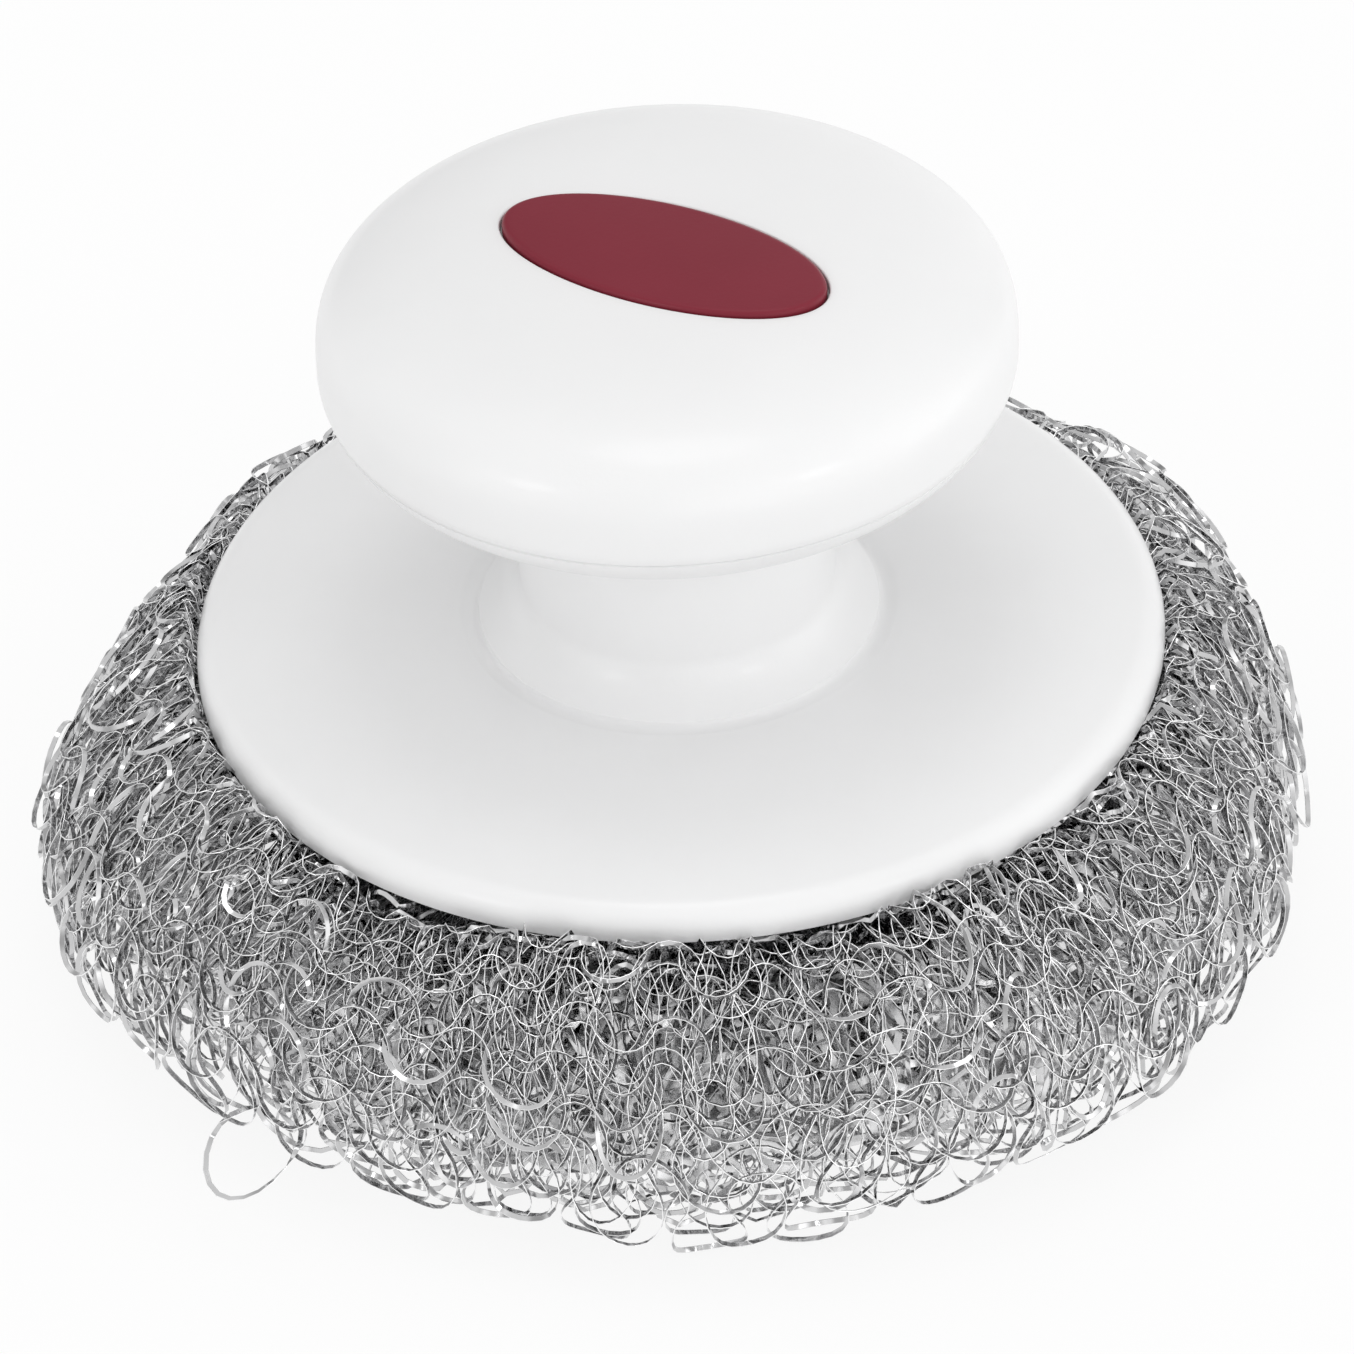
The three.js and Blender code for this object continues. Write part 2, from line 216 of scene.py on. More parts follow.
LAMPS = (  # name, place, width and power, in metres and watts
    ("overhead", (0, 0.1, 0.8), 0.3, 0.42),
    ("front_left", (-0.55, -0.5, 0.5), 0.2, 0.36),
    ("front_right", (0.55, -0.5, 0.5), 0.2, 0.36),
)

# The camera, fitted to the photograph
SENSOR_WIDTH = 36
FOCAL_LENGTH = 191.94
CAMERA_ELEVATION = math.radians(37.71)
CAMERA_ROLL = math.radians(-2.67)
CAMERA_TARGET = (-0.47, 0, 18.38)
CAMERA_DISTANCE = 600

# Facets
ROUND_SIDES = 192
CURVE_STEPS = 28
CORNER_STEPS = 8
CAP_TOP_STEPS = 14
SEAT_EDGE_STEPS = 4
SHARP_ANGLE = math.radians(35)

flange_top = flange_underside + FLANGE_RIM_HEIGHT
neck_foot = flange_top + FLANGE_RISE
floor_top = flange_underside + FLOOR_THICKNESS
knob_widest = flange_underside + KNOB_WIDEST_HEIGHT
knob_top = knob_widest + KNOB_CROWN
seam_level = knob_widest - KNOB_SEAM_DROP
badge_seat = knob_top - BADGE_SEAT_DEPTH


# Outlines

def quarter_curve(r, z, width, height, fullness, start, end, steps):
    angles = np.linspace(start, end, steps + 1)
    across = np.clip(np.cos(angles), 0, 1) ** (2 / fullness)
    up = np.clip(np.sin(angles), 0, 1) ** (2 / fullness)
    return [(r + width * a, z + height * u) for a, u in zip(across, up)]


def rounded_corner(first, corner, last, steps):
    points = []
    for share in np.linspace(0, 1, steps + 1):
        near = (1 - share) ** 2
        middle = 2 * share * (1 - share)
        far = share ** 2
        points.append(tuple(near * a + middle * b + far * c for a, b, c in zip(first, corner, last)))
    return points


def knob_top_at(r, inset=0.0):
    share = 1 - (np.abs(r) / (knob_radius - inset)) ** KNOB_TOP_FULLNESS
    return knob_widest + (KNOB_CROWN - inset) * np.clip(share, 0, 1) ** (1 / KNOB_TOP_FULLNESS)


def underside_angle(z, inset):
    return math.asin((knob_widest - z) / (KNOB_UNDERSIDE_DROP - inset))


def underside_curve(inset, start, end, steps):
    width = knob_radius - inset
    return quarter_curve(0, knob_widest, width, inset - KNOB_UNDERSIDE_DROP, ELLIPSE, start, end, steps)


# Meshes

def new_piece(name, vertices, faces, material):
    mesh = bpy.data.meshes.new(name)
    mesh.from_pydata(np.asarray(vertices) * MM, [], faces)
    mesh.validate()
    mesh.polygons.foreach_set("use_smooth", np.ones(len(mesh.polygons), bool))
    mesh.set_sharp_from_angle(angle=SHARP_ANGLE)
    mesh.materials.append(material)
    piece = bpy.data.objects.new(name, mesh)
    bpy.context.scene.collection.objects.link(piece)
    return piece


def circle_ring(r, z):
    turn = np.arange(ROUND_SIDES) * FULL_TURN / ROUND_SIDES
    return np.stack([r * np.cos(turn), r * np.sin(turn), np.full(ROUND_SIDES, z)], axis=1)


def oval_ring(margin, z):
    turn = np.arange(ROUND_SIDES) * FULL_TURN / ROUND_SIDES - BADGE_TURN
    x = (BADGE_LENGTH / 2 + margin) * np.cos(turn)
    y = (BADGE_WIDTH / 2 + margin) * np.sin(turn)
    c, s = math.cos(BADGE_TURN), math.sin(BADGE_TURN)
    return np.stack([x * c - y * s, x * s + y * c, np.full(ROUND_SIDES, z)], axis=1)


def loft(rings, first_pole=None, last_pole=None):
    """Vertices and faces of a skin over rings, closed by poles or on itself."""
    count = len(rings)
    vertices = [tuple(p) for ring in rings for p in ring]
    faces = []
    bands = count if first_pole is None else count - 1
    for i in range(bands):
        a, b = i * ROUND_SIDES, ((i + 1) % count) * ROUND_SIDES
        for k in range(ROUND_SIDES):
            n = (k + 1) % ROUND_SIDES
            faces.append((a + k, a + n, b + n, b + k))
    if first_pole is not None:
        last = (count - 1) * ROUND_SIDES
        vertices += [first_pole, last_pole]
        for k in range(ROUND_SIDES):
            n = (k + 1) % ROUND_SIDES
            faces.append((n, k, len(vertices) - 2))
            faces.append((last + k, last + n, len(vertices) - 1))
    return vertices, faces


# Materials

def noise(nodes, coordinates, scale, detail):
    texture = nodes.new("ShaderNodeTexNoise")
    texture.inputs["Scale"].default_value = scale
    texture.inputs["Detail"].default_value = detail
    nodes.id_data.links.new(coordinates, texture.inputs["Vector"])
    return texture.outputs["Fac"]


def spread(nodes, value, first, last, source=NOISE_RANGE):
    """A value that goes evenly from first to last while the given one crosses the source range."""
    remap = nodes.new("ShaderNodeMapRange")
    for name, limit in zip(("From Min", "From Max", "To Min", "To Max"), (*source, first, last)):
        remap.inputs[name].default_value = limit
    nodes.id_data.links.new(value, remap.inputs["Value"])
    return remap.outputs["Result"]


def calculate(nodes, operation, *values):
    node = nodes.new("ShaderNodeMath")
    node.operation = operation
    for socket, value in zip(node.inputs, values):
        if isinstance(value, (int, float)):
            socket.default_value = value
        else:
            nodes.id_data.links.new(value, socket)
    return node.outputs["Value"]


def tint(nodes, value, dark, light):
    mix = nodes.new("ShaderNodeMix")
    mix.data_type = "RGBA"
    mix.inputs["A"].default_value = (*dark, 1)
    mix.inputs["B"].default_value = (*light, 1)
    nodes.id_data.links.new(value, mix.inputs["Factor"])
    return mix.outputs["Result"]


def bump(nodes, height, distance, strength):
    node = nodes.new("ShaderNodeBump")
    node.inputs["Distance"].default_value = distance
    node.inputs["Strength"].default_value = strength
    nodes.id_data.links.new(height, node.inputs["Height"])
    return node.outputs["Normal"]


def new_material(name):
    material = bpy.data.materials.new(name)
    material.use_nodes = True
    tree = material.node_tree
    shader = tree.nodes["Principled BSDF"]
    coordinates = tree.nodes.new("ShaderNodeTexCoord").outputs["Object"]
    return material, tree, shader, coordinates


def moulded_plastic(name, dark, light, rough, shine, gloss):
    material, tree, shader, place = new_material(name)
    nodes, links = tree.nodes, tree.links
    colour = tint(nodes, noise(nodes, place, *PLASTIC_COLOUR_NOISE), dark, light)
    sheen = spread(nodes, noise(nodes, place, *PLASTIC_SHEEN_NOISE), *rough)
    grain = bump(nodes, noise(nodes, place, *GRAIN_NOISE), GRAIN_HEIGHT * MM, GRAIN_STRENGTH)
    links.new(colour, shader.inputs["Base Color"])
    links.new(sheen, shader.inputs["Roughness"])
    links.new(grain, shader.inputs["Normal"])
    shader.inputs["IOR"].default_value = PLASTIC_IOR
    shader.inputs["Specular IOR Level"].default_value = shine
    shader.inputs["Coat Weight"].default_value = gloss
    shader.inputs["Coat Roughness"].default_value = GLOSS_ROUGHNESS
    return material


def bright_steel(name, dark, light, rough):
    material, tree, shader, place = new_material(name)
    nodes, links = tree.nodes, tree.links
    shader.inputs["Metallic"].default_value = 1
    colour = tint(nodes, noise(nodes, place, *STEEL_COLOUR_NOISE), dark, light)
    sheen = spread(nodes, noise(nodes, place, *STEEL_SHEEN_NOISE), *rough)
    links.new(colour, shader.inputs["Base Color"])
    links.new(sheen, shader.inputs["Roughness"])
    return material


def flat_wire(name, dark, light, edge, rough):
    """Steel wire whose flats are painted darker, a painted shade for the dim surroundings they reflect,
    with streaky tone, and whose rounded edges are painted bright, a painted highlight.
    """
    material, tree, shader, place = new_material(name)
    nodes, links = tree.nodes, tree.links
    shader.inputs["Metallic"].default_value = 1
    flats = tint(nodes, noise(nodes, place, *STEEL_COLOUR_NOISE), dark, light)
    sheen = spread(nodes, noise(nodes, place, *STEEL_SHEEN_NOISE), *rough)
    # The marked rounded edges take the edge colour, a painted highlight; the flats' darker tint is
    # painted shade
    mark = nodes.new("ShaderNodeAttribute")
    mark.attribute_name = EDGE_HIGHLIGHT_MARK
    edge_highlight_mix = nodes.new("ShaderNodeMix")
    edge_highlight_mix.data_type = "RGBA"
    edge_highlight_mix.inputs["B"].default_value = (*edge, 1)
    links.new(mark.outputs["Fac"], edge_highlight_mix.inputs["Factor"])
    links.new(flats, edge_highlight_mix.inputs["A"])
    links.new(edge_highlight_mix.outputs["Result"], shader.inputs["Base Color"])
    links.new(sheen, shader.inputs["Roughness"])
    return material


white_plastic = moulded_plastic(
    "white_plastic", dark=(0.85, 0.85, 0.853), light=(0.885, 0.885, 0.887),
    rough=(0.34, 0.42), shine=0.5, gloss=0.25,
)
red_plastic = moulded_plastic(
    "red_plastic", dark=(0.185, 0.016, 0.029), light=(0.225, 0.021, 0.039),
    rough=(0.32, 0.4), shine=0.2, gloss=0.05,
)
# Outer wire: flats painted darker as painted shade, edges painted near white as a painted highlight
wire_steel = flat_wire(
    "wire_steel", dark=(0.52, 0.52, 0.525), light=(0.7, 0.7, 0.705),
    edge=(0.94, 0.94, 0.945), rough=(0.08, 0.16),
)
# A lighter copy of the same steel wire for the inner layers, painted brighter to offset the shade deep
# in the pad; its edges are painted a little brighter still, a painted highlight
brightened_core_steel = flat_wire(
    "brightened_core_steel", dark=(0.74, 0.74, 0.745), light=(0.86, 0.86, 0.865),
    edge=(0.88, 0.88, 0.885), rough=(0.18, 0.3),
)
screw_steel = bright_steel(
    "screw_steel", dark=(0.5, 0.5, 0.51), light=(0.62, 0.62, 0.63), rough=(0.22, 0.38),
)


# The handle

def handle_body():
    seam_angle = underside_angle(seam_level - SEAM_EDGE, 0)
    fillet_angle = math.acos((NECK_RADIUS + NECK_TOP_FILLET) / knob_radius)
    underside = underside_curve(0, fillet_angle, seam_angle, CURVE_STEPS)
    fillet_end = underside[0]
    slope = KNOB_UNDERSIDE_DROP / knob_radius / math.tan(fillet_angle)
    fillet_corner = (NECK_RADIUS, fillet_end[1] - slope * NECK_TOP_FILLET)
    neck_top = (NECK_RADIUS, fillet_corner[1] - NECK_TOP_FILLET)
    foot_width = (NECK_FOOT_RADIUS - NECK_RADIUS) / (1 - math.sin(NECK_FOOT_CREASE))
    foot_top = neck_foot + NECK_FOOT_HEIGHT * math.cos(NECK_FOOT_CREASE)
    foot = quarter_curve(
        NECK_RADIUS + foot_width, foot_top, -foot_width, -NECK_FOOT_HEIGHT, ELLIPSE,
        QUARTER_TURN - NECK_FOOT_CREASE, 0, CURVE_STEPS,
    )
    crease = rounded_corner(
        (NECK_FOOT_RADIUS + CREASE_WIDTH, neck_foot),
        (NECK_FOOT_RADIUS, neck_foot - 2 * CREASE_DEPTH),
        foot[0],
        CORNER_STEPS,
    )
    edge = quarter_curve(
        flange_radius - FLANGE_EDGE_RADIUS, flange_top - FLANGE_EDGE_RADIUS,
        FLANGE_EDGE_RADIUS, FLANGE_EDGE_RADIUS, ELLIPSE, 0, QUARTER_TURN, CORNER_STEPS,
    )
    hollow_radius = NECK_RADIUS - WALL
    rebate_radius = SPIGOT_RADIUS + FIT_GAP
    rebate_floor = seam_level - SPIGOT_DEPTH - FIT_GAP
    hollow_angle = math.acos(hollow_radius / (knob_radius - WALL))
    hollow = underside_curve(WALL, underside_angle(rebate_floor, WALL), hollow_angle, CURVE_STEPS)
    seam_radius = underside[-1][0] - SEAM_EDGE
    outline = [
        (SCREW_HOLE_RADIUS, flange_underside),
        (flange_radius, flange_underside),
        *edge,
        *crease,
        *foot[1:],
        *rounded_corner(neck_top, fillet_corner, fillet_end, CURVE_STEPS)[:-1],
        *underside,
        (seam_radius, seam_level),
        (rebate_radius, seam_level),
        (rebate_radius, rebate_floor),
        *hollow,
        (hollow_radius, floor_top),
        (SCREW_HOLE_RADIUS, floor_top),
    ]
    return loft([circle_ring(r, z) for r, z in outline])


def knob_cap():
    ring_inner = SPIGOT_RADIUS - SPIGOT_WALL
    ring_foot = seam_level - SPIGOT_DEPTH
    bore_end = node_box("clamp_screw")[1].z + BORE_END_GAP
    inner_radii = np.linspace(BOSS_RADIUS, ring_inner, CORNER_STEPS)
    outer_radii = np.linspace(SPIGOT_RADIUS, knob_radius - WALL, CORNER_STEPS)
    seam_low = underside_angle(seam_level, 0)
    skirt = underside_curve(0, seam_low, 0, CORNER_STEPS)[1:]
    inner = [
        (SCREW_HOLE_RADIUS, bore_end),
        (SCREW_HOLE_RADIUS, floor_top + BOSS_TIP_GAP),
        (BOSS_RADIUS, floor_top + BOSS_TIP_GAP),
        *[(r, knob_top_at(r, WALL)) for r in inner_radii],
        (ring_inner, ring_foot),
        (SPIGOT_RADIUS, ring_foot),
        *[(r, knob_top_at(r, WALL)) for r in outer_radii],
        (knob_radius - WALL, seam_level + SEAM_EDGE),
        (skirt[0][0] - 2 * SEAM_EDGE, seam_level + SEAM_EDGE),
    ]
    grid_angle = math.acos((CAP_GRID_RADIUS / knob_radius) ** (KNOB_TOP_FULLNESS / 2))
    shoulder = quarter_curve(
        0, knob_widest, knob_radius, KNOB_CROWN, KNOB_TOP_FULLNESS, 0, grid_angle, 2 * CURVE_STEPS,
    )
    rings = [circle_ring(r, z) for r, z in [*inner, *skirt[:-1], *shoulder]]
    last_circle = rings[-1]
    lip = FIT_GAP + SEAT_EDGE_RADIUS
    for share in np.linspace(0, 1, CAP_TOP_STEPS + 1)[1:]:
        blend = (1 - share) * last_circle + share * oval_ring(lip, 0)
        blend[:, 2] = knob_top_at(np.hypot(blend[:, 0], blend[:, 1]))
        rings.append(blend)
    for angle in np.linspace(0, QUARTER_TURN, SEAT_EDGE_STEPS + 1)[1:]:
        margin = lip - SEAT_EDGE_RADIUS * math.sin(angle)
        drop = SEAT_EDGE_RADIUS * (1 - math.cos(angle))
        ring = oval_ring(margin, 0)
        ring[:, 2] = knob_top_at(np.hypot(ring[:, 0], ring[:, 1])) - drop
        rings.append(ring)
    rings.append(oval_ring(FIT_GAP, badge_seat))
    return loft(rings, (0, 0, bore_end), (0, 0, badge_seat))


def badge_inlay():
    top = knob_top + BADGE_PROUD
    rings = [oval_ring(0, badge_seat)]
    for angle in np.linspace(0, QUARTER_TURN, CORNER_STEPS):
        inset = BADGE_EDGE_RADIUS * (1 - math.cos(angle))
        rise = BADGE_EDGE_RADIUS * (1 - math.sin(angle))
        rings.append(oval_ring(-inset, top - rise))
    rim = oval_ring(-BADGE_EDGE_RADIUS, 0)
    for share in np.linspace(1, 0, CURVE_STEPS)[1:-1]:
        ring = rim * share
        ring[:, 2] = top + BADGE_DOME * (1 - share ** 2)
        rings.append(ring)
    return loft(rings, (0, 0, badge_seat), (0, 0, top + BADGE_DOME))


def fit_out(piece, body, slot, *nodes):
    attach(piece, body)
    if nodes:
        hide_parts(*nodes)


body_piece = new_piece("moulded_body", *handle_body(), white_plastic)
fit_out(body_piece, "handle", "white_plastic", "handle_body")
cap_piece = new_piece("moulded_cap", *knob_cap(), white_plastic)
fit_out(cap_piece, "handle", "white_plastic", "knob_cap")
badge_piece = new_piece("oval_badge", *badge_inlay(), red_plastic)
fit_out(badge_piece, "handle", "red_plastic", "badge_inlay")


# The knitted pad

@dataclass
class Knit:
    """How wire is knitted: its loops, and how the flat wire lies in them."""
    wales: int  # loops in a course, once round the pad
    spacing: float  # from one course to the next
    height: float  # from the middle of a course to its heads and feet
    steps: tuple  # along a loop, on the pad's side and elsewhere
    outline: tuple  # of the wire, cut across
    width: float  # of the wire
    tilt: float  # of the flats, from square to the pad's surface towards the table
    twist: float  # how much the tilt varies from loop to loop
    steel: bpy.types.Material


@dataclass
class Layer:
    """One layer of knit, and how it lies in the pad."""
    name: str
    knit: Knit
    inset: float  # from the pad's outer line, towards its heart
    offset: float  # of the courses, up the pad's side
    shift: float  # of the loops round the pad, in wales
    seeds: tuple  # for the loops and for the crumple
    unevenness: float
    slack: float  # how far in it lies on the loose side
    nodes: tuple = ()  # the CAD nodes that it stands for
    pulled: tuple = ()  # loops that stand out of the pad: course and half loop


def pad_section():
    """The pad's outer line, from under the flange round the side and the base to the dimple's top."""
    side_start = pad_radius - PAD_SIDE_WIDTH
    top = flange_underside - TUCK_DEPTH
    collar_height = flange_underside + PAD_COLLAR_RISE - PAD_WIDEST_HEIGHT
    upper = quarter_curve(
        side_start, PAD_WIDEST_HEIGHT, PAD_SIDE_WIDTH, collar_height, PAD_UPPER_FULLNESS,
        QUARTER_TURN, 0, 2 * CURVE_STEPS,
    )
    share = [np.clip((r - flange_radius) / GROOVE_WIDTH, 0, 1) for r, _ in upper]
    upper = [(r, top + (z - top) * s * s * (3 - 2 * s)) for (r, z), s in zip(upper, share)]
    lower = quarter_curve(
        side_start, PAD_WIDEST_HEIGHT, PAD_SIDE_WIDTH, -PAD_WIDEST_HEIGHT, PAD_LOWER_FULLNESS,
        0, QUARTER_TURN, CURVE_STEPS,
    )
    dimple = rounded_corner(
        (DIMPLE_LIP_RADIUS, 0), (DIMPLE_RADIUS, 0), (DIMPLE_RADIUS, DIMPLE_CURVE_HEIGHT), CURVE_STEPS,
    )
    return np.array([(PAD_TOP_START, top), *upper, *lower[1:], *dimple, (DIMPLE_RADIUS, DIMPLE_TOP)])


def shrunk_section(inset):
    """The pad's section drawn in by inset towards its heart, with arc lengths and outward normals."""
    points = pad_section()
    heart = np.stack([
        np.clip(points[:, 0], HEART_INNER, HEART_OUTER), np.full(len(points), HEART_HEIGHT),
    ], axis=1)
    points = heart + (points - heart) * (1 - inset / HEART_DEPTH)
    lengths = np.concatenate([[0], np.cumsum(np.hypot(*np.diff(points, axis=0).T))])
    place = np.arange(0, lengths[-1], SECTION_STEP)
    line = np.stack([np.interp(place, lengths, points[:, i]) for i in (0, 1)], axis=1)
    along = np.gradient(line, axis=0)
    kernel = np.ones(NORMAL_SMOOTHING) / NORMAL_SMOOTHING
    reach = NORMAL_SMOOTHING // 2
    padded = np.pad(along, ((reach, reach), (0, 0)), mode="edge")
    along = np.stack([np.convolve(padded[:, i], kernel, "valid") for i in (0, 1)], axis=1)
    along /= np.linalg.norm(along, axis=1, keepdims=True)
    normals = np.stack([-along[:, 1], along[:, 0]], axis=1)
    return place, line, normals


def between(values, position):
    """Values at the heads and feet of the loops, eased from one to the next."""
    low = np.floor(position).astype(int)
    ease = 0.5 - 0.5 * np.cos(math.pi * (position - low))
    count = values.shape[1]
    return values[:, low % count] * (1 - ease) + values[:, (low + 1) % count] * ease


def crumple(points, seed, size, shortest, longest, waves):
    """Points pushed about by soft random waves."""
    rng = np.random.default_rng(seed)
    moved = points.copy()
    for _ in range(waves):
        way = rng.normal(size=3)
        wave = rng.normal(size=3)
        wave *= FULL_TURN / rng.uniform(shortest, longest) / np.linalg.norm(wave)
        phase = rng.uniform(0, FULL_TURN)
        moved += (size / math.sqrt(waves)) * way * np.sin(points @ wave + phase)[..., None]
    return moved


def out_of_round(points, slack):
    """Points moved in or out where the pad's side isn't round, and in where it is loose."""
    turn = np.degrees(np.arctan2(points[..., 1], points[..., 0]))
    distance = np.zeros_like(turn)
    for azimuth, out in (*PAD_BULGES, (LOOSE_SIDE, -slack)):
        away = (turn - azimuth + 180) % 360 - 180
        distance += out * np.exp(-(away / BULGE_WIDTH) ** 2)
    r = np.hypot(points[..., 0], points[..., 1])
    share = np.clip((r - flange_radius) / (pad_radius - flange_radius), 0, 1)
    moved = points.copy()
    moved[..., :2] *= (1 + share * distance / pad_radius)[..., None]
    return moved


def course_starts(layer, place, line):
    """Where the courses lie along the section: down the pad's side, and elsewhere."""
    tucked = place[np.argmax(line[:, 0] > flange_radius - RIM_TUCK)]
    widest = np.argmax(line[:, 0])
    fold = place[widest + np.argmax(line[widest:, 1] < LAST_COURSE_HEIGHT)]
    under = place[widest + np.argmax(line[widest:, 0] < BASE_RADIUS)]
    spacing = layer.knit.spacing
    side = np.arange(fold - layer.offset, tucked, -spacing)
    hidden = np.arange(layer.knit.height, tucked, HIDDEN_COURSE_SPACING)
    base = np.arange(under, place[-1] - layer.knit.height, spacing)
    return side, np.concatenate([hidden, base])


def knit_layer(layer):
    section = shrunk_section(layer.inset)
    knit = layer.knit
    for part, starts, steps in zip(("side", "base"), course_starts(layer, *section[:2]), knit.steps):
        corners = knit_courses(layer, section, starts, steps)
        piece = ribbon_piece(f"{layer.name}_{part}", corners, knit.outline, knit.steel)
        fit_out(piece, "pad", "steel_wire", *layer.nodes)
        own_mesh(piece)


def knit_courses(layer, section, starts, steps):
    """Corners of every course's ribbon: course, step along it, corner of its outline, coordinate."""
    rng = np.random.default_rng(layer.seeds[0])
    place, line, normals = section
    courses = len(starts)
    knit = layer.knit
    shape = (courses, 2 * knit.wales)
    uneven = layer.unevenness
    slide = rng.normal(0, SLIDE_SPREAD * uneven, shape)
    reach = rng.normal(0, REACH_SPREAD * uneven, shape)
    lift = rng.normal(0, LIFT_SPREAD * uneven, shape)
    proud = rng.random(shape) < PROUD_SHARE
    lift += proud * rng.uniform(*PROUD_LIFT, shape)
    turn_over = rng.normal(knit.tilt, knit.twist, shape)
    taller = 1 + rng.normal(0, SIZE_SPREAD * uneven, shape)
    wider = 1 + rng.normal(0, SIZE_SPREAD * uneven, shape)
    phase = rng.normal(0, PHASE_SPREAD, (courses, 1)) + layer.shift

    half_loops = np.arange(knit.wales * steps) * 2 / steps
    nearest = np.round(half_loops)
    past = half_loops - nearest
    arc = 2 * LOOP_ARC * past
    swing = np.sin(arc) / (4 * math.sin(LOOP_ARC)) - past / 2
    rise = (np.cos(arc) - math.cos(LOOP_ARC)) / (1 - math.cos(LOOP_ARC))
    rise *= np.where(nearest % 2 == 0, 1, -1)
    along = knit.height * between(taller, half_loops) * rise + between(reach, half_loops)
    out = LOOP_DEPTH * np.cos(FULL_TURN * half_loops) + between(lift, half_loops)
    s = np.clip(starts[:, None] + along, place[0], place[-1])
    r = np.interp(s, place, line[:, 0])
    z = np.interp(s, place, line[:, 1])
    for course, head in layer.pulled:
        pulled = nearest == head
        first = np.argmax(pulled)
        r[course, pulled] = r[course, first] + along[course, pulled] * math.cos(PULL_SLOPE)
        z[course, pulled] = z[course, first] - along[course, pulled] * math.sin(PULL_SLOPE)
    normal_r = np.interp(s, place, normals[:, 0])
    normal_z = np.interp(s, place, normals[:, 1])
    loops = half_loops / 2 + swing * between(wider, half_loops) + phase
    angle = FULL_TURN * loops / knit.wales + between(slide, half_loops) / r
    r_out = r + out * normal_r
    points = np.stack([r_out * np.cos(angle), r_out * np.sin(angle), z + out * normal_z], axis=-1)
    facing = np.maximum(normal_z, LOWEST_FACING)
    normal = np.stack([normal_r * np.cos(angle), normal_r * np.sin(angle), facing], axis=-1)
    points = crumple(points, PAD_SEED, *PAD_CRUMPLE)
    points = crumple(points, layer.seeds[1], LAYER_CRUMPLE * uneven, *LAYER_WAVES)
    points = out_of_round(points, layer.slack)
    points = keep_clear(points, knit.width / 2)

    tangent = np.roll(points, -1, axis=1) - np.roll(points, 1, axis=1)
    tangent /= np.linalg.norm(tangent, axis=-1, keepdims=True)
    flat = normal - (normal * tangent).sum(-1, keepdims=True) * tangent
    flat /= np.linalg.norm(flat, axis=-1, keepdims=True)
    side = np.cross(tangent, flat)
    turned = between(turn_over, half_loops)[..., None]
    wide = flat * np.cos(turned) + side * np.sin(turned)
    thin = np.cross(tangent, wide)
    corners = []
    for w, b in knit.outline:
        corners.append(points + wide * (w * knit.width / 2) + thin * (b * RIBBON_THICKNESS / 2))
    return np.stack(corners, axis=2)


def keep_clear(points, margin):
    """Moves points out of the table, the flange and the clamp disc, and a margin more."""
    points = points + np.array(PAD_SHIFT)
    gap = FLANGE_CLEARANCE + margin
    points[..., 2] = np.maximum(points[..., 2], FLOOR_CLEARANCE + margin)
    r = np.hypot(points[..., 0], points[..., 1])
    ceiling = flange_underside - gap + RIM_SLOPE * np.maximum(r - flange_radius - gap, 0)
    points[..., 2] = np.minimum(points[..., 2], ceiling)
    hub = disc_high.x + gap
    blocked = (r < hub) & (points[..., 2] < disc_high.z + gap)
    scale = np.where(blocked, hub / np.maximum(r, LEAST_RADIUS), 1)
    points[..., :2] *= scale[..., None]
    return points


def ribbon_piece(name, corners, outline, material):
    """A mesh of closed ribbons, one for each course, with its flats and its rounded edges marked."""
    courses, count, sides, _ = corners.shape
    ranges = [np.arange(size) for size in (courses, count, sides)]
    course, step, side = np.meshgrid(*ranges, indexing="ij")
    next_step, next_side = (step + 1) % count, (side + 1) % sides

    def index(c, i, j):
        return ((c * count + i) * sides + j).ravel()

    quads = np.stack([
        index(course, step, side), index(course, step, next_side),
        index(course, next_step, next_side), index(course, next_step, side),
    ], axis=1)
    mesh = bpy.data.meshes.new(name)
    mesh.vertices.add(corners.size // 3)
    mesh.vertices.foreach_set("co", (corners.reshape(-1) * MM).astype(np.float32))
    mesh.loops.add(quads.size)
    mesh.loops.foreach_set("vertex_index", quads.ravel().astype(np.int32))
    mesh.polygons.add(len(quads))
    mesh.polygons.foreach_set("loop_start", np.arange(0, quads.size, 4, dtype=np.int32))
    mesh.update(calc_edges=True)
    mesh.polygons.foreach_set("use_smooth", np.ones(len(quads), bool))

    height = np.array([b for _, b in outline])
    ends = np.empty(2 * len(mesh.edges), np.int32)
    mesh.edges.foreach_get("vertices", ends)
    ends = ends.reshape(-1, 2) % sides
    sharp = mesh.attributes.new("sharp_edge", "BOOLEAN", "EDGE")
    sharp.data.foreach_set("value", (ends[:, 0] == ends[:, 1]) & (height[ends[:, 0]] != 0))
    # Faces of the rounded edges, marked so that the wire's colour paints them brighter, a painted
    # highlight
    edge_side = height != np.roll(height, -1)
    rounded = mesh.attributes.new(EDGE_HIGHLIGHT_MARK, "FLOAT", "FACE")
    rounded.data.foreach_set("value", edge_side[side.ravel()].astype(np.float32))

    strip = (course * sides + side).ravel()
    low, high = strip + STRIP_MARGIN, strip + 1 - STRIP_MARGIN
    rows = courses * sides
    left, right = step.ravel() / count, (step.ravel() + 1) / count
    layout = np.stack([
        np.stack([left, low / rows], axis=1), np.stack([left, high / rows], axis=1),
        np.stack([right, high / rows], axis=1), np.stack([right, low / rows], axis=1),
    ], axis=1)
    mesh.uv_layers.new(name="OFBake").data.foreach_set("uv", layout.ravel().astype(np.float32))
    mesh.materials.append(material)
    piece = bpy.data.objects.new(name, mesh)
    bpy.context.scene.collection.objects.link(piece)
    return piece


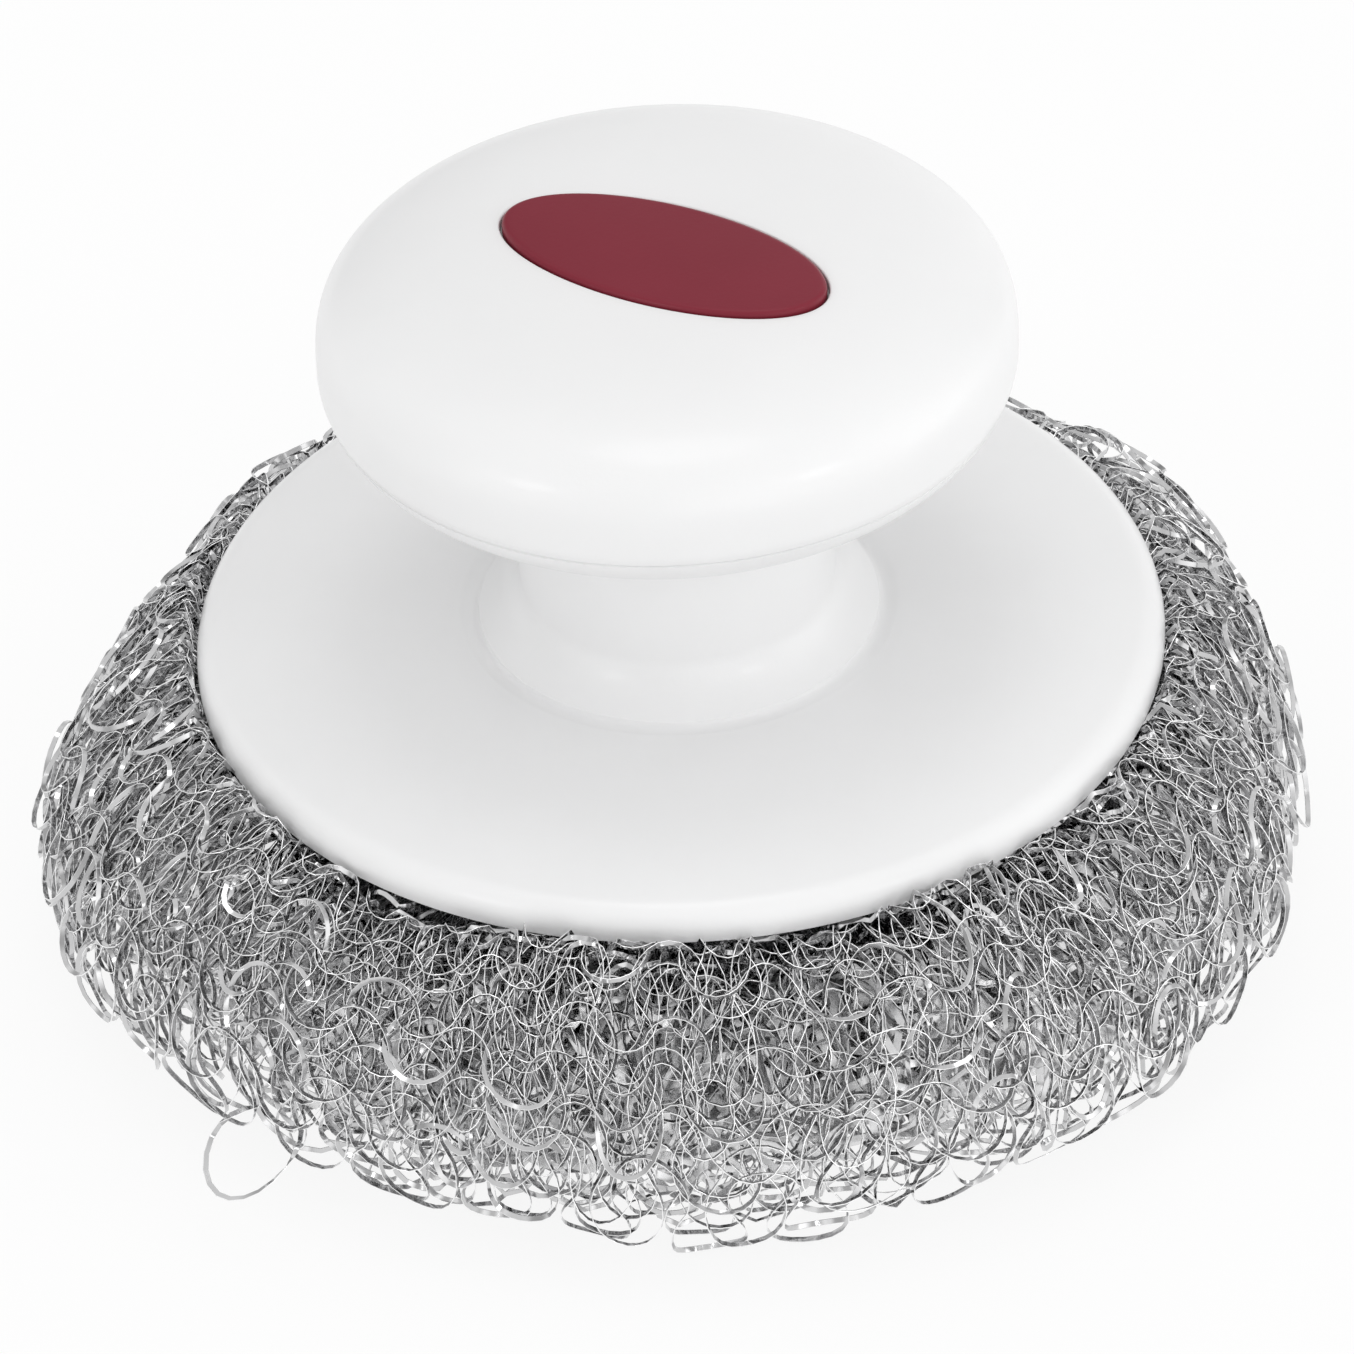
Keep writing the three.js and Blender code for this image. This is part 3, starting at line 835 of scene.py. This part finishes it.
WIDE = Knit(
    wales=36, spacing=3.4, height=6.2, steps=(32, 14),
    outline=ROUNDED, width=0.44, tilt=0.1, twist=0.45, steel=wire_steel,
)
CLOSE = Knit(
    wales=44, spacing=3.0, height=5.2, steps=(28, 12),
    outline=ROUNDED, width=0.44, tilt=0.1, twist=0.45, steel=wire_steel,
)
INNER = Knit(
    wales=35, spacing=3.0, height=5.0, steps=(16, 12),
    outline=FLAT, width=0.62, tilt=1.1, twist=0.6, steel=brightened_core_steel,
)
# Each layer's name, knit, inset, offset, shift, seeds, unevenness and slack
for layer in (
    Layer(
        "knit_outer_1", WIDE, 0.3, 0.0, 0.3, (11, 111), 1.0, 0.0,
        nodes=("mesh_sleeve",), pulled=((0, 46),),
    ),
    Layer("knit_outer_2", CLOSE, 1.1, 1.0, 0.25, (18, 112), 1.0, 3.0),
    Layer("knit_outer_3", WIDE, 2.0, 1.9, 0.8, (12, 113), 1.0, 5.0),
    Layer("knit_outer_4", CLOSE, 2.9, 2.6, 0.75, (19, 114), 1.2, 7.5),
    Layer("knit_inner_1", INNER, 4.0, 0.0, 0.25, (14, 115), 1.4, 9.0, nodes=("mesh_core",)),
    Layer("knit_inner_2", INNER, 5.0, 1.5, 0.75, (15, 116), 1.6, 9.0),
    Layer("knit_inner_3", INNER, 6.4, 0.0, 0.0, (16, 117), 1.8, 9.0),
    Layer("knit_inner_4", INNER, 8.2, 1.5, 0.5, (17, 118), 2.0, 9.0),
):
    knit_layer(layer)


# The carried-over nodes

for node, material in (
    ("screw_washer", screw_steel), ("clamp_screw", screw_steel), ("clamp_disc", white_plastic),
):
    frame["nodes"][node].data.materials.clear()
    frame["nodes"][node].data.materials.append(material)


# The stage

def floor():
    """A pale floor that holds the shadow, and looks nearly white to the camera and to the gloss."""
    material, tree, shader, _ = new_material("studio_floor")
    nodes, links = tree.nodes, tree.links
    shader.inputs["Base Color"].default_value = FLOOR_COLOUR
    shader.inputs["Roughness"].default_value = FLOOR_ROUGHNESS
    glow = nodes.new("ShaderNodeEmission")
    glow.inputs["Color"].default_value = WHITE
    ray = nodes.new("ShaderNodeLightPath").outputs
    seen = calculate(nodes, "ADD", ray["Is Camera Ray"], ray["Is Glossy Ray"])
    seen = calculate(nodes, "ADD", seen, ray["Is Transmission Ray"])
    share = calculate(nodes, "MULTIPLY", calculate(nodes, "MINIMUM", seen, 1), FLOOR_GLOW)
    mix = nodes.new("ShaderNodeMixShader")
    links.new(share, mix.inputs["Fac"])
    links.new(shader.outputs["BSDF"], mix.inputs[1])
    links.new(glow.outputs["Emission"], mix.inputs[2])
    links.new(mix.outputs["Shader"], nodes["Material Output"].inputs["Surface"])
    half = FLOOR_HALF_WIDTH
    corners = [(-half, -half, 0), (half, -half, 0), (half, half, 0), (-half, half, 0)]
    ground = new_piece("studio_floor", corners, [(0, 1, 2, 3)], material)


def world():
    """Walls of soft upright panels, with a dim one behind, under an even ceiling."""
    sky = bpy.data.worlds.new("studio")
    bpy.context.scene.world = sky
    sky.use_nodes = True
    nodes, links = sky.node_tree.nodes, sky.node_tree.links
    direction = nodes.new("ShaderNodeTexCoord").outputs["Generated"]
    parts = nodes.new("ShaderNodeSeparateXYZ")
    links.new(direction, parts.inputs["Vector"])
    turn = calculate(nodes, "ARCTAN2", parts.outputs["Y"], parts.outputs["X"])
    panel = calculate(nodes, "COSINE", calculate(nodes, "MULTIPLY", turn, PANELS))
    panels = spread(nodes, panel, GAP_SHARE, 1, (-PANEL_EDGE, PANEL_EDGE))
    depth = spread(nodes, parts.outputs["Y"], 1, BACK_SHARE, BACK_START)
    balance = spread(nodes, parts.outputs["X"], LEFT_LIGHT, RIGHT_LIGHT, (-1, 1))
    low = spread(nodes, parts.outputs["Z"], LOW_SHARE, 1, (0, LOW_END))
    walls = balance
    for share in (panels, depth, low):
        walls = calculate(nodes, "MULTIPLY", walls, share)
    ceiling = spread(nodes, parts.outputs["Z"], 0, 1, CEILING_START)
    light = nodes.new("ShaderNodeMix")
    light.inputs["B"].default_value = CEILING_LIGHT
    links.new(ceiling, light.inputs["Factor"])
    links.new(walls, light.inputs["A"])
    nodes["Background"].inputs["Color"].default_value = WHITE
    links.new(light.outputs["Result"], nodes["Background"].inputs["Strength"])


def lamp(name, place, width, power):
    light = bpy.data.lights.new(name, "AREA")
    light.shape = "DISK"
    light.size = width
    light.energy = power
    holder = bpy.data.objects.new(name, light)
    bpy.context.scene.collection.objects.link(holder)
    way = Vector(LAMP_TARGET) - Vector(place)
    holder.matrix_world = Matrix.Translation(place) @ way.to_track_quat("-Z", "Y").to_matrix().to_4x4()


def camera():
    lens_data = bpy.data.cameras.new("photo_camera")
    lens_data.sensor_width = SENSOR_WIDTH
    lens_data.lens = FOCAL_LENGTH
    back = Vector((0, -math.cos(CAMERA_ELEVATION), math.sin(CAMERA_ELEVATION)))
    right = Vector((1, 0, 0))
    up = Vector((0, math.sin(CAMERA_ELEVATION), math.cos(CAMERA_ELEVATION)))
    across = math.cos(CAMERA_ROLL) * right + math.sin(CAMERA_ROLL) * up
    upward = math.cos(CAMERA_ROLL) * up - math.sin(CAMERA_ROLL) * right
    place = Vector(CAMERA_TARGET) * MM + back * (CAMERA_DISTANCE * MM)
    view = bpy.data.objects.new("photo_camera", lens_data)
    view.matrix_world = Matrix.Translation(place) @ Matrix((across, upward, back)).transposed().to_4x4()
    bpy.context.scene.collection.objects.link(view)
    bpy.context.scene.camera = view


floor()
world()
camera()
for settings in LAMPS:
    lamp(*settings)
bpy.context.scene.view_settings.view_transform = "Standard"
